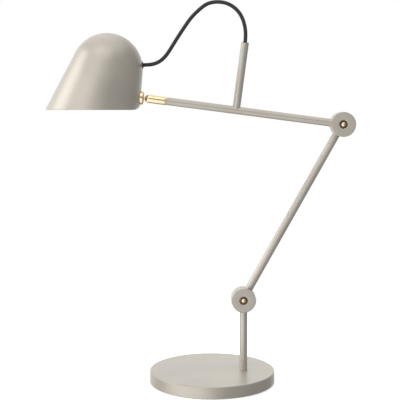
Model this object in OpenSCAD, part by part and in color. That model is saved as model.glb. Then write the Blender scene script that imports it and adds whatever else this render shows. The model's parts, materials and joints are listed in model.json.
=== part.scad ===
// Architect desk lamp: a weighted round base, a swivelling post, two arms on disc joints,
// and a spun shade on a brass ball joint. X runs along the arms, Y across them, Z up.
// The origin is the centre of the base's underside.

/* [Base] */
// Diameter of the base
base_d = 200; // [170:1:240]
// Height of the base, pad included
base_h = 19.6; // [18.5:0.1:26]
// Wall of the steel cover
cover_wall = 2.6; // [1.5:0.1:3]
// Gap between the cover's lower edge and the table
foot_gap = 0.8; // [0.5:0.1:1.2]
// Thickness of the pad under the base
pad_t = 1.8; // [1.5:0.1:2.4]
// Thickness of the bottom plate
plate_t = 1.2; // [1:0.1:2]
// Bolt circle of the bottom plate's screws
plate_pcd = 150; // [120:1:154]

/* [Post] */
// Distance of the post from the centre of the base
post_x = 50; // [20:1:60]
// Height of the lower joint's axis above the table
lower_joint_z = 133.3; // [100:0.1:200]
// Outside diameter of the post, the arms and the riser
tube_d = 12.2; // [11:0.1:14]
// Wall of those tubes
tube_wall = 1.1; // [0.8:0.1:1.3]
// Diameter of the spigot that turns in the base
spigot_d = 8; // [7:0.1:9]
// How far the spigot reaches up into the post
spigot_grip = 32; // [15:1:50]

/* [Joints] */
// Diameter of the joint discs
disc_d = 39; // [36:1:48]
// Gap between the two discs of a joint
joint_gap = 0.5; // [0.4:0.05:0.8]
// Shank diameter of the pivot bolts
pivot_d = 6; // [5:0.1:7]
// Diameter of the brass heads and nuts
head_d = 12.2; // [10:0.1:14]
// Diameter of the domed button in the middle of a head
button_d = 6.6; // [6:0.1:8]
// How far the button stands out of the disc
dome_h = 1.2; // [0.8:0.1:2.5]
// Depth of the counterbore that a head or a nut sits in
counterbore_h = 5; // [4.8:0.1:5.6]

/* [Lower arm] */
// Length of the lower arm between its joint axes
lower_arm_l = 319; // [260:1:400]
// Angle of the lower arm above the table
lower_arm_a = 61.05; // [50:0.05:80]

/* [Upper arm] */
// Distance from the elbow's axis to the centre of the shade's ball
upper_arm_l = 318.8; // [260:0.1:400]
// Angle of the upper arm above the table
upper_arm_a = 7.45; // [0:0.05:20]
// Distance from the elbow's axis to the riser
riser_at = 169; // [120:1:200]
// Height of the riser's mouth above the upper arm's axis
riser_l = 104.8; // [60:0.1:130]
// Wall of the brass sleeve
sleeve_wall = 0.7; // [0.6:0.1:2]
// Length of the brass sleeve
sleeve_l = 34.5; // [32:0.1:50]

/* [Ball joint] */
// Diameter of the ball
ball_d = 11; // [10:0.1:12]
// Diameter of the stud's neck
neck_d = 6; // [5:0.1:6.5]
// Gap between the ball and the sleeve's round end
neck_gap = 0.4; // [0.3:0.1:2]
// Diameter of the socket's flange
flange_d = 22; // [20:0.1:28]
// Distance of the ball's centre outside the shade's wall
ball_out = 0.2; // [0:0.1:1]
// Height of the socket's flange above the shade's wall
flange_t = 4.6; // [4:0.1:6]

/* [Shade] */
// Radius of the shade's dome
dome_r = 55.2; // [50:0.1:64]
// Half angle of the cone below the dome
cone_a = 11.85; // [8:0.05:14]
// Lean of the shade's axis
lean_a = 16.45; // [10:0.05:20]
// Wall of the shade
shade_wall = 1.2; // [0.8:0.1:1.6]
// Height of the ball joint above the shade's rim
joint_above_rim = 19; // [16:0.1:26]
// Distance down the wall from the dome's centre to the ball joint
joint_down = 28.1; // [26:0.1:34]
// Radius of the rim's rounded back corner
corner_r = 10; // [4:0.5:12]

/* [Lamp] */
// Diameter of the lampholder
holder_d = 26; // [24:0.5:30]
// Length of the lampholder
holder_l = 38; // [32:1:40]
// Diameter of the globe
globe_d = 45; // [40:1:46]
// Distance of the globe's centre below the lampholder's mouth
globe_drop = 36; // [34:1:38]
// Diameter of the bulb's cap
bulb_cap_d = 14; // [12:0.1:16]
// Length of the bulb's cap
bulb_cap_l = 18; // [14:1:22]

/* [Cord] */
// Diameter of the braided cord
cord_d = 6; // [5:0.1:7]
// Diameter of the leads inside the tubes
lead_d = 4.2; // [3.5:0.1:4.6]

/* [Hidden] */

$fn = 96;
cut = 0.5;             // overrun of a cutting tool past the face it opens
skim = 0.01;           // the same on a countersink, whose size at the face matters

// clearances
run_fit = 0.05;        // radial, on parts that turn in each other
push_fit = 0.03;       // radial, on parts pressed together
loose_fit = 0.25;      // radial, on parts that only drop in

// base
cover_top = base_h - cover_wall;
cavity_d = base_d - 2 * cover_wall;
weight_gap = 0.2;
weight_d = cavity_d - 2 * weight_gap;
weight_z = pad_t + plate_t;
weight_top = cover_top - weight_gap;
pad_d = cavity_d - 6;
edge_chamfer = 0.8;
screw_d = 4;
screw_head_d = 8;
boss_d = 10;
boss_z = weight_top - 6;
screw_grip = 4.5;                      // length of a screw's tip in its boss
hex_d = 2.5;
pad_edge = 0.4;
bush_d = spigot_d + 6;
bush_flange_d = bush_d + 8;
bush_flange_t = 1.6;
bush_bottom = 11;
skin_t = 0.8;                          // cover left over the bush
nut_af = 13;
nut_h = 4.2;
washer_t = 0.5;
spigot_end = bush_bottom - washer_t - nut_h - 0.6;
pocket_d = bush_flange_d + 4;
inlet_d = 9;
inlet_bore = 6.6;
inlet_lip = 2.4;                       // how much wider the inlet's two lips are
inlet_lip_t = 1.6;
inlet_z = (weight_z + cover_top) / 2;
inlet_r = base_d / 2;
block_size = [22, 16, 8];
block_y = base_d / 2 - 30;
block_gap = 1;
block_pitch = 6.5;
block_wire_z = 3.4;
block_wire_d = 2.6;
block_screw_d = 3;

// tubes and discs
tube_bore = tube_d - 2 * tube_wall;
disc_t = tube_d;
arm_y = (joint_gap + disc_t) / 2;      // both tube axes lie this far from the joints' parting plane
post_pos = [post_x, -arm_y, 0];
post_bottom = base_h + washer_t + 0.1;
lower_pos = [post_x, 0, lower_joint_z];
elbow_pos = lower_pos + lower_arm_l * [cos(lower_arm_a), 0, sin(lower_arm_a)];
arm_dir = [-cos(upper_arm_a), 0, sin(upper_arm_a)];
riser_dir = [sin(upper_arm_a), 0, cos(upper_arm_a)];
arm_start = elbow_pos - [0, arm_y, 0];
riser_foot = arm_start + riser_at * arm_dir;
riser_top = riser_foot + riser_l * riser_dir;
disc_chamfer = 0.6;
chamber_d = [16, 29];                  // inside and outside diameters of the lead's chamber in a disc
chamber_h = disc_t / 2 + 2.8;
loop_d = (chamber_d[0] + chamber_d[1]) / 2;
lead_hole_d = lead_d + 0.9;
knee_d = lead_d + 0.6;                 // a lead's shrunk sleeve at each turn
ring_d = [chamber_d[1] + 1.6, disc_d - 2];
ring_t = joint_gap - 0.1;
cb_gap = 0.4;                          // radial gap round a brass head in its counterbore
spring_t = 1.2;
nut_t = 3.6;
nut_edge = 1;
pin_hole_d = 1.6;
pin_hole_h = 1.6;
collar_t = 0.8;                        // thickness of a bolt's collar
shank_short = 0.4;                     // a bolt's shank ends this far inside the rear face

// upper arm's end: distances from the elbow's axis
sleeve_d = tube_d + 2 * sleeve_wall;
sleeve_end = upper_arm_l - ball_d / 2 - neck_gap;
sleeve_start = sleeve_end - sleeve_l;
sleeve_grip = 12;
sleeve_taper = 4;
tube_end = sleeve_start + sleeve_grip;
stud_nut_h = 4;
stud_nut_d = neck_d + 3.4;
nut_room_d = stud_nut_d + 1;
nut_room_end = tube_end + 7.5;
stud_tail = nut_room_end - washer_t - stud_nut_h - 1;
bush_l = 12;
riser_bush_bore = cord_d + 0.6;

// shade: its dome's centre follows from where the ball joint meets the wall
ball_pos = arm_start + upper_arm_l * arm_dir;
wall_a = lean_a - cone_a;              // the back wall's lean from the vertical
wall_out = [cos(wall_a), 0, -sin(wall_a)];
wall_pos = ball_pos - ball_out * wall_out;
tangent_z = dome_r * sin(cone_a);
function cone_r(z, r) = r * cos(cone_a) + (r * sin(cone_a) - z) * tan(cone_a);
joint_r = cone_r(-joint_down, dome_r);
shade_pos = wall_pos
  - joint_r * [cos(lean_a), 0, -sin(lean_a)]
  + joint_down * [sin(lean_a), 0, cos(lean_a)];
rim_z = wall_pos[2] - joint_above_rim;
rim_back = wall_pos[0] - joint_above_rim * tan(wall_a);
skirt_l = 130;                         // the cone is made this long below the dome, then trimmed

// ball joint, along the wall's outward normal
socket_lip = 1.6;                      // how far the socket closes over the ball, past its centre
shank_d = ball_d + 4;
shank_end = -(ball_d / 2 + 6.9);
socket_bore = ball_d + 0.3;
saddle_d = 22;
saddle_in = -(shade_wall + 1.8);
bracket_t = 1.6;
ring_nut_h = 3.6;
ring_nut_d = 21;
bracket_w = 14;
seat_t = 2.4;
seat_gap = 0.1;

// lamp
holder_mouth = 2;                      // height of the holder's mouth above the dome's centre
holder_ring_t = 3;
holder_ring_d = holder_d + 8;
bracket_z = holder_mouth + 8;
globe_z = holder_mouth - globe_drop;
cap_gap = 0.3;
cap_out = 1.5;                         // how far the bulb's cap stands out of the holder
globe_neck_d = 17;
grommet_d = 9.4;
grommet_flange_d = 11;
grommet_flange_t = 0.7;
grommet_bore = cord_d + 0.6;

// The cord's route in the plane of the upper arm, from the riser's mouth to the shade: how far
// along the straight line between them each point lies, and how far above it, as shares of its length
cord_route = [
  [-0.024, 0.094], [-0.029, 0.18], [-0.013, 0.266], [0.03, 0.344], [0.099, 0.403],
  [0.187, 0.434], [0.275, 0.434], [0.364, 0.396], [0.452, 0.339], [0.537, 0.263],
  [0.616, 0.186], [0.697, 0.103], [0.782, 0.027], [0.858, -0.007], [0.934, -0.01]
];
cord_split = 10;                       // index of the point where the cord's two halves meet
cord_in_riser = 26;
cord_in_shade = 9;
cord_sides = 12;

entry_angle = 6.2;                     // angle above the horizontal at which the cord enters the dome
entry_dir = [cos(entry_angle), 0, sin(entry_angle)];
entry_pos = shade_pos + dome_r * entry_dir;
cord_span = entry_pos - riser_top;
cord_rise = [cord_span[2], 0, -cord_span[0]];
cord_points = concat(
  [for (s = [-cord_in_riser, -cord_in_riser / 2, 0]) riser_top + s * riser_dir],
  [for (p = cord_route) riser_top + p[0] * cord_span + p[1] * cord_rise],
  [for (s = [0, -cord_in_shade]) entry_pos + s * entry_dir]
);

// --- helpers ---------------------------------------------------------------

// cylinder along Y from y0 to y1
module ycyl(d, y0, y1) {
  translate([0, y0, 0]) rotate([-90, 0, 0]) cylinder(d = d, h = y1 - y0);
}

// ring along Z
module ring(d_out, d_in, h) {
  difference() {
    cylinder(d = d_out, h = h);
    translate([0, 0, -cut]) cylinder(d = d_in, h = h + 2 * cut);
  }
}

// turns local +Z to a direction in the XZ plane
module along(dir) {
  rotate([0, atan2(dir[0], dir[2]), 0]) children();
}

// rod with round ends between two points in the XZ plane of its own Y
module rod(a, b, d) {
  translate(a) along(b - a) cylinder(d = d, h = norm(b - a));
}

module in_base() { translate(post_pos) children(); }
module on_wall() { translate(wall_pos) along(wall_out) children(); }
module on_shade() { translate(shade_pos) rotate([0, lean_a, 0]) children(); }
module at_screws() {
  for (a = [45 : 90 : 315]) rotate(a) translate([plate_pcd / 2, 0, 0]) children();
}

// polyhedron swept along points that share one Y, with a ring square to the path at each
function tangent(p, i) =
  let (a = p[max(i - 1, 0)], b = p[min(i + 1, len(p) - 1)]) (b - a) / norm(b - a);
module sweep(p, first, last, d) {
  n = cord_sides;
  rings = last - first + 1;
  points = [
    for (i = [first : last])
      let (t = tangent(p, i), side = cross([0, 1, 0], t))
        for (k = [0 : n - 1])
          p[i] + d / 2 * (cos(360 * k / n) * [0, 1, 0] + sin(360 * k / n) * side)
  ];
  faces = concat(
    [[for (k = [0 : n - 1]) k]],
    [for (i = [0 : rings - 2]) for (k = [0 : n - 1])
      [i * n + k, (i + 1) * n + k, (i + 1) * n + (k + 1) % n, i * n + (k + 1) % n]],
    [[for (k = [n - 1 : -1 : 0]) (rings - 1) * n + k]]
  );
  polyhedron(points, faces, convexity = 6);
}

// --- base ------------------------------------------------------------------

module base_cover() {
  color("tan") difference() {
    union() {
      difference() {
        rotate_extrude() polygon([
          [0, foot_gap], [base_d / 2 - edge_chamfer / 2, foot_gap],
          [base_d / 2, foot_gap + edge_chamfer / 2], [base_d / 2, base_h - edge_chamfer],
          [base_d / 2 - edge_chamfer, base_h], [0, base_h]
        ]);
        translate([0, 0, -cut]) cylinder(d = cavity_d, h = cover_top + cut);
      }
      at_screws() translate([0, 0, boss_z]) cylinder(d = boss_d, h = cover_top - boss_z + cut);
    }
    at_screws() translate([0, 0, boss_z - cut]) cylinder(d = screw_d + 2 * push_fit, h = screw_grip + 1 + cut);
    in_base() translate([0, 0, cover_top - cut]) {
      cylinder(d = bush_d + 2 * push_fit, h = cover_wall - skin_t + cut);
      cylinder(d = spigot_d + 2 * loose_fit, h = cover_wall + 2 * cut);
    }
    translate([0, inlet_r, inlet_z]) ycyl(inlet_d + 2 * push_fit, -2 * cover_wall, cover_wall);
  }
}

module base_weight() {
  color("dimgray") difference() {
    translate([0, 0, weight_z]) cylinder(d = weight_d, h = weight_top - weight_z);
    at_screws() {
      translate([0, 0, weight_z - cut]) cylinder(d = screw_d + 2 * loose_fit, h = base_h);
      translate([0, 0, boss_z - loose_fit]) cylinder(d = boss_d + 2 * loose_fit, h = base_h);
    }
    in_base() translate([0, 0, weight_z - cut]) cylinder(d = pocket_d, h = base_h);
    // pocket for the terminal block, open to the inlet and to the swivel's pocket
    translate([-block_size[0] / 2 - block_gap, block_y - block_size[1] / 2 - block_gap, weight_z - cut])
      cube([block_size[0] + 2 * block_gap, base_d, base_h]);
    rotate_to_post() translate([0, -(lead_d + 2) / 2, weight_z - cut])
      cube([lead_run, lead_d + 2, lead_d + 2.5 + cut]);
  }
}

// the groove for the lead runs from the terminal block to the swivel
lead_gap = 3;                          // the lead stops this short of the block and of the nut
lead_from = [0, block_y, 0];
lead_run = norm([post_x, -arm_y, 0] - lead_from);
module rotate_to_post() {
  translate(lead_from) rotate(atan2(-arm_y - block_y, post_x)) children();
}

module bottom_plate() {
  color("gray") translate([0, 0, pad_t]) difference() {
    cylinder(d = weight_d, h = plate_t);
    at_screws() translate([0, 0, -skim])
      cylinder(d1 = screw_head_d, d2 = screw_d + 2 * loose_fit, h = plate_t + 2 * skim);
  }
}

module base_pad() {
  color("black") rotate_extrude() polygon([
    [0, 0], [pad_d / 2 - pad_edge, 0], [pad_d / 2, pad_edge], [pad_d / 2, pad_t], [0, pad_t]
  ]);
}

module plate_screws() {
  color("silver") at_screws() translate([0, 0, pad_t]) difference() {
    union() {
      cylinder(d1 = screw_head_d - loose_fit, d2 = screw_d, h = plate_t);
      cylinder(d = screw_d, h = boss_z + screw_grip - pad_t);
    }
    translate([0, 0, -cut]) cylinder(d = hex_d, h = plate_t + cut, $fn = 6);
  }
}

module lead_inlet() {
  color("black") translate([0, inlet_r, inlet_z]) difference() {
    union() {
      ycyl(inlet_d, -cover_wall - inlet_lip_t, loose_fit + cut);
      ycyl(inlet_d + inlet_lip, loose_fit, loose_fit + inlet_lip_t);
      ycyl(inlet_d + inlet_lip, -cover_wall - 2 * inlet_lip_t, -cover_wall - inlet_lip_t + cut);
    }
    ycyl(inlet_bore, -base_h, base_h);
  }
}

module terminal_block() {
  color("ivory") translate([0, block_y, weight_z + 0.2]) difference() {
    translate([-block_size[0] / 2, -block_size[1] / 2, 0]) cube(block_size);
    for (x = block_pitch * [-1, 0, 1]) {
      translate([x, -block_size[1] / 2 - cut, block_wire_z]) ycyl(block_wire_d, 0, block_size[1] + 2 * cut);
      for (y = block_size[1] / 4 * [-1, 1]) translate([x, y, block_wire_z])
        cylinder(d = block_screw_d, h = block_size[2]);
    }
  }
}

module base_lead() {
  start = block_size[1] / 2 + lead_gap;
  end = lead_run - nut_af / 2 - lead_gap;
  color("white") rotate_to_post() translate([start, 0, weight_z + lead_d / 2 + 0.6]) rotate([0, 90, 0])
    cylinder(d = lead_d, h = end - start);
}

module swivel_bush() {
  color("goldenrod") in_base() translate([0, 0, bush_bottom]) difference() {
    union() {
      cylinder(d = bush_d, h = base_h - skin_t - bush_bottom);
      translate([0, 0, cover_top - bush_bottom - bush_flange_t])
        cylinder(d = bush_flange_d, h = bush_flange_t);
    }
    translate([0, 0, -cut]) cylinder(d = spigot_d + 2 * run_fit, h = base_h);
  }
}

// --- post ------------------------------------------------------------------

module foot_washer() {
  color("black") in_base() translate([0, 0, base_h]) ring(tube_d - 1.6, spigot_d + 2 * run_fit, washer_t);
}

module post_spigot() {
  color("silver") in_base() difference() {
    union() {
      translate([0, 0, spigot_end]) cylinder(d = spigot_d, h = post_bottom - spigot_end + cut);
      translate([0, 0, post_bottom]) cylinder(d = tube_bore - 2 * push_fit, h = spigot_grip);
    }
    cylinder(d = lead_d + 0.6, h = post_bottom + spigot_grip + cut);
  }
}

module swivel_washer() {
  color("silver") in_base() translate([0, 0, bush_bottom - washer_t])
    ring(bush_d - 1, spigot_d + 2 * run_fit, washer_t - 0.1);
}

module swivel_nut() {
  color("silver") in_base() translate([0, 0, bush_bottom - washer_t - nut_h]) difference() {
    cylinder(d = nut_af / cos(30), h = nut_h - 0.05, $fn = 6);
    translate([0, 0, -cut]) cylinder(d = spigot_d + 2 * push_fit, h = nut_h + 2 * cut);
  }
}

// a tube's end is cut to the round edge of the disc that it joins
module tube_between(a, b) {
  translate(a) along(b - a) ring(tube_d, tube_bore, norm(b - a));
}

module post_tube() {
  color("tan") difference() {
    tube_between(post_pos + [0, 0, post_bottom], lower_pos - [0, arm_y, 0]);
    translate(lower_pos) ycyl(disc_d, -2 * disc_t, disc_t);
  }
}

module post_lead() {
  color("white") {
    bottom = spigot_end + 1;
    translate(post_pos + [0, 0, bottom]) cylinder(d = lead_d, h = lower_joint_z - loop_d / 2 - bottom);
    lead_turn(lower_pos, [0, 0, -1], -1);
    lead_loop(lower_pos);
  }
}

// the lead's turn from a tube into a disc's chamber; side is -1 in a front disc, 1 in a rear one
module lead_turn(pos, dir, side) {
  corner = pos + [0, side * arm_y, 0] + loop_d / 2 * dir;
  translate(corner) sphere(d = knee_d);
  gap = side < 0 ? 0 : lead_d / 2 + 0.5;
  translate([corner[0], side < 0 ? corner[1] : gap, corner[2]])
    rotate([-90, 0, 0]) cylinder(d = lead_d, h = abs(corner[1]) - gap);
}

// spare lead coiled once round the pivot
module lead_loop(pos) {
  translate(pos) rotate([90, 0, 0]) rotate_extrude() translate([loop_d / 2, 0]) circle(d = lead_d, $fn = 32);
}

// --- disc joints -----------------------------------------------------------

// one disc, with its parting face at Y = 0 and its outer face at Y = disc_t;
// each of dirs is the direction of a tube that meets it
module joint_disc(dirs) {
  r = disc_d / 2;
  bore_r = pivot_d / 2 + run_fit;
  cb_r = head_d / 2 + cb_gap;
  difference() {
    rotate([-90, 0, 0]) rotate_extrude() polygon([
      [bore_r, 0], [chamber_d[0] / 2, 0], [chamber_d[0] / 2, chamber_h],
      [chamber_d[1] / 2, chamber_h], [chamber_d[1] / 2, 0], [r - disc_chamfer, 0],
      [r, disc_chamfer], [r, disc_t - disc_chamfer], [r - disc_chamfer, disc_t],
      [cb_r + disc_chamfer, disc_t], [cb_r, disc_t - disc_chamfer],
      [cb_r, disc_t - counterbore_h], [bore_r, disc_t - counterbore_h]
    ]);
    for (dir = dirs) translate([0, disc_t / 2, 0]) along(dir)
      translate([0, 0, loop_d / 2]) cylinder(d = lead_hole_d, h = disc_d);
  }
}

module front_disc(pos, dirs) {
  translate(pos - [0, joint_gap / 2, 0]) mirror([0, 1, 0]) joint_disc(dirs);
}

module rear_disc(pos, dirs) {
  translate(pos + [0, joint_gap / 2, 0]) joint_disc(dirs);
}

// brass bolt: a domed button on a thin collar, and a shank through both discs
module pivot_bolt(pos) {
  face = joint_gap / 2 + disc_t;
  seat = face - counterbore_h;
  r = button_d / 2;
  ball_r = (r * r + dome_h * dome_h) / (2 * dome_h);
  translate(pos) mirror([0, 1, 0]) {
    ycyl(pivot_d, -face + shank_short, seat + cut);
    ycyl(head_d, seat, seat + collar_t);
    translate([0, seat, 0]) rotate([-90, 0, 0]) rotate_extrude() intersection() {
      square([r, counterbore_h + dome_h]);
      translate([0, counterbore_h + dome_h - ball_r]) circle(r = ball_r, $fn = 180);
    }
  }
}

// stack of two cupped spring washers in the rear disc's counterbore
module spring_washers(pos) {
  seat = joint_gap / 2 + disc_t - counterbore_h;
  hole_r = pivot_d / 2 + 3 * run_fit;
  translate(pos + [0, seat + run_fit, 0]) rotate([-90, 0, 0]) rotate_extrude() polygon([
    [hole_r, spring_t / 3], [head_d / 2, 0], [head_d / 2, spring_t - 2 * run_fit],
    [hole_r, spring_t - 2 * run_fit]
  ]);
}

// low brass nut with a round edge and two holes for a pin key
module pivot_nut(pos) {
  face = joint_gap / 2 + disc_t - counterbore_h + spring_t;
  r = head_d / 2;
  translate(pos + [0, face + run_fit, 0]) difference() {
    rotate([-90, 0, 0]) rotate_extrude() polygon([
      [pivot_d / 2 + push_fit, 0], [r, 0], [r, nut_t - nut_edge], [r - nut_edge, nut_t],
      [pivot_d / 2 + disc_chamfer, nut_t], [pivot_d / 2 + push_fit, nut_t - disc_chamfer]
    ]);
    for (side = [-1, 1]) translate([side * (r - nut_edge + pivot_d / 2) / 2, nut_t - pin_hole_h, 0])
      ycyl(pin_hole_d, 0, 2 * pin_hole_h);
  }
}

module friction_ring(pos) {
  translate(pos - [0, joint_gap / 2, 0]) rotate([-90, 0, 0]) ring(ring_d[1], ring_d[0], ring_t);
}

module lower_front_disc() { color("tan") front_disc(lower_pos, [[0, 0, -1]]); }
module lower_pivot_bolt() { color("goldenrod") pivot_bolt(lower_pos); }
module lower_friction_ring() { color("black") friction_ring(lower_pos); }
module lower_spring_washers() { color("silver") spring_washers(lower_pos); }
module lower_pivot_nut() { color("goldenrod") pivot_nut(lower_pos); }
module elbow_front_disc() { color("tan") front_disc(elbow_pos, [arm_dir]); }
module elbow_pivot_bolt() { color("goldenrod") pivot_bolt(elbow_pos); }
module elbow_friction_ring() { color("black") friction_ring(elbow_pos); }
module elbow_spring_washers() { color("silver") spring_washers(elbow_pos); }
module elbow_pivot_nut() { color("goldenrod") pivot_nut(elbow_pos); }

// --- lower arm -------------------------------------------------------------

lower_dir = (elbow_pos - lower_pos) / lower_arm_l;
module lower_rear_disc() { color("tan") rear_disc(lower_pos, [lower_dir]); }
module elbow_rear_disc() { color("tan") rear_disc(elbow_pos, [-lower_dir]); }

module lower_arm_tube() {
  color("tan") difference() {
    tube_between(lower_pos + [0, arm_y, 0], elbow_pos + [0, arm_y, 0]);
    for (pos = [lower_pos, elbow_pos]) translate(pos) ycyl(disc_d, -disc_t, 2 * disc_t);
  }
}

module lower_arm_lead() {
  a = lower_pos + [0, arm_y, 0] + loop_d / 2 * lower_dir;
  b = elbow_pos + [0, arm_y, 0] - loop_d / 2 * lower_dir;
  color("white") {
    rod(a, b, lead_d);
    lead_turn(lower_pos, lower_dir, 1);
    lead_turn(elbow_pos, -lower_dir, 1);
  }
}

// --- upper arm -------------------------------------------------------------

module upper_arm_tube() {
  color("tan") difference() {
    tube_between(arm_start, arm_start + tube_end * arm_dir);
    translate(elbow_pos) ycyl(disc_d, -2 * disc_t, disc_t);
    rod(riser_foot, riser_top, lead_hole_d);
  }
}

module riser_tube() {
  color("tan") difference() {
    tube_between(riser_foot, riser_top);
    rod(arm_start, arm_start + upper_arm_l * arm_dir, tube_d);
  }
}

module riser_bush() {
  color("black") translate(riser_top) along(riser_dir) difference() {
    union() {
      translate([0, 0, -bush_l]) cylinder(d = tube_bore - 2 * push_fit, h = bush_l + 0.2);
      translate([0, 0, 0.02]) cylinder(d1 = tube_d - 0.6, d2 = tube_d - 2, h = 0.9);
    }
    translate([0, 0, -bush_l - cut]) cylinder(d = riser_bush_bore, h = bush_l + 3);
  }
}

module upper_arm_lead() {
  a = arm_start + loop_d / 2 * arm_dir;
  top = riser_top - (cord_in_riser + 0.3) * riser_dir;
  color("white") {
    rod(a, riser_foot, lead_d);
    translate(riser_foot) sphere(d = knee_d);
    rod(riser_foot, top, lead_d);
    lead_turn(elbow_pos, arm_dir, -1);
    lead_loop(elbow_pos);
  }
}

// brass sleeve on the arm's end: round nose, straight body, slight taper on to the tube
module arm_sleeve() {
  r = sleeve_d / 2;
  straight = sleeve_end - r;
  color("goldenrod") translate(arm_start) along(arm_dir) difference() {
    union() {
      translate([0, 0, sleeve_start]) cylinder(d1 = tube_d + 0.8, d2 = sleeve_d, h = sleeve_taper);
      translate([0, 0, sleeve_start + sleeve_taper])
        cylinder(d = sleeve_d, h = straight - sleeve_start - sleeve_taper);
      translate([0, 0, straight]) sphere(r = r);
    }
    translate([0, 0, sleeve_start - cut])
      cylinder(d = tube_d + 2 * push_fit, h = sleeve_grip + cut);
    translate([0, 0, tube_end - cut])
      cylinder(d = nut_room_d, h = nut_room_end - tube_end + cut);
    cylinder(d = neck_d + 2 * run_fit, h = upper_arm_l + cut);
  }
}

module cord_riser_side() {
  color("dimgray") sweep(cord_points, 0, cord_split, cord_d);
}

// --- ball stud -------------------------------------------------------------

module ball_stud() {
  color("goldenrod") translate(arm_start) along(arm_dir) {
    translate([0, 0, upper_arm_l]) sphere(d = ball_d);
    translate([0, 0, stud_tail]) cylinder(d = neck_d, h = upper_arm_l - stud_tail);
  }
}

module stud_washer() {
  color("silver") translate(arm_start) along(arm_dir) translate([0, 0, nut_room_end - washer_t])
    ring(stud_nut_d, neck_d + 2 * run_fit, washer_t - 0.1);
}

module stud_nut() {
  color("silver") translate(arm_start) along(arm_dir)
    translate([0, 0, nut_room_end - washer_t - stud_nut_h])
    ring(stud_nut_d, neck_d + 2 * push_fit, stud_nut_h - 0.05);
}

module cord_shade_side() {
  color("dimgray") sweep(cord_points, cord_split, len(cord_points) - 1, cord_d);
}

// --- shade -----------------------------------------------------------------

// solid dome of radius r with the cone that is tangent to it
module shade_body(r) {
  on_shade() {
    sphere(r = r, $fn = 256);
    translate([0, 0, -skirt_l])
      cylinder(r1 = cone_r(-skirt_l, r), r2 = r * cos(cone_a), h = skirt_l + r * sin(cone_a), $fn = 256);
  }
}

module shade_shell() {
  reach = 2 * dome_r + skirt_l;
  color("tan") difference() {
    shade_body(dome_r);
    shade_body(dome_r - shade_wall);
    // level rim, with the back corner rounded across the whole width
    translate([rim_back - reach, -reach / 2, rim_z - reach]) cube([2 * reach, reach, reach]);
    translate([rim_back - corner_r, -reach / 2, rim_z]) difference() {
      translate([0, 0, -cut]) cube([2 * corner_r, reach, corner_r + cut]);
      translate([0, -cut, corner_r]) ycyl(2 * corner_r, 0, reach + 2 * cut);
    }
    on_wall() translate([0, 0, -6]) cylinder(d = shank_d + 2 * push_fit, h = 12);
    translate(entry_pos) along(entry_dir) translate([0, 0, -6]) cylinder(d = grommet_d + 2 * push_fit, h = 12);
  }
}

module cord_grommet() {
  edge_h = 0.3;
  grommet_in = -shade_wall - 3;
  color("black") difference() {
    translate(entry_pos) along(entry_dir) difference() {
      union() {
        translate([0, 0, grommet_in]) cylinder(d = grommet_d, h = edge_h - grommet_in);
        translate([0, 0, edge_h - skim]) cylinder(d1 = grommet_flange_d, d2 = grommet_d, h = grommet_flange_t);
        translate([0, 0, -1]) cylinder(d = grommet_flange_d, h = 1 + edge_h);
        translate([0, 0, grommet_in]) cylinder(d = grommet_flange_d - 1, h = -grommet_in - shade_wall - 1);
      }
      translate([0, 0, -8]) cylinder(d = grommet_bore, h = 16);
    }
    // the flange's back follows the wall
    difference() {
      on_shade() sphere(r = dome_r + 0.03, $fn = 256);
      translate(entry_pos) along(entry_dir) translate([0, 0, -8]) cylinder(d = grommet_d, h = 16);
      on_shade() sphere(r = dome_r - shade_wall - 0.03, $fn = 256);
    }
  }
}

// brass socket: a flange on the wall, a lip over the ball, a threaded shank through the wall
module joint_socket() {
  lip_z = ball_out + socket_lip;
  lip_r = sqrt(pow(ball_d / 2 + run_fit, 2) - pow(socket_lip, 2)) + 0.5;
  color("goldenrod") difference() {
    on_wall() difference() {
      rotate_extrude() polygon([
        [0, shank_end], [shank_d / 2, shank_end], [shank_d / 2, -1.4], [flange_d / 2, -1.4],
        [flange_d / 2, flange_t - 1.4], [flange_d / 2 - 0.5, flange_t - 0.4],
        [flange_d / 2 - 1.2, flange_t], [flange_d / 2 - 2, flange_t],
        [flange_d / 2 - 2.5, flange_t - 0.3], [lip_r, lip_z], [0, lip_z]
      ]);
      translate([0, 0, shank_end - cut]) cylinder(d = socket_bore, h = ball_out - shank_end + cut);
      translate([0, 0, ball_out]) sphere(d = ball_d + 2 * run_fit);
    }
    difference() {
      shade_body(dome_r + 0.03);
      on_wall() translate([0, 0, shank_end - cut]) cylinder(d = shank_d, h = 30);
    }
  }
}

module ball_seat() {
  back = ball_out - ball_d / 2 - seat_t + 1.2;
  color("ivory") on_wall() difference() {
    translate([0, 0, back]) cylinder(d = socket_bore - 0.2, h = ball_out - 1.6 - back);
    translate([0, 0, ball_out]) sphere(d = ball_d + 2 * seat_gap);
  }
}

module seat_spring() {
  top = ball_out - ball_d / 2 - seat_t + 1.2 - 0.1;
  color("silver") on_wall() translate([0, 0, top - 2.2]) rotate_extrude()
    for (k = [0 : 1]) translate([socket_bore / 2 - 1.6, 0.6 + 1.1 * k]) circle(d = 1, $fn = 24);
}

module socket_plug() {
  top = ball_out - ball_d / 2 - seat_t + 1.2 - 2.5;
  color("goldenrod") on_wall() difference() {
    translate([0, 0, shank_end + 0.3]) cylinder(d = socket_bore - 2 * push_fit, h = top - shank_end - 0.3);
    translate([0, 0, shank_end - cut]) cylinder(d = 4, h = 3, $fn = 6);
  }
}

module socket_saddle() {
  color("silver") intersection() {
    on_wall() translate([0, 0, saddle_in]) ring(saddle_d, shank_d + 2 * loose_fit, 6);
    shade_body(dome_r - shade_wall - 0.03);
  }
}

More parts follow.
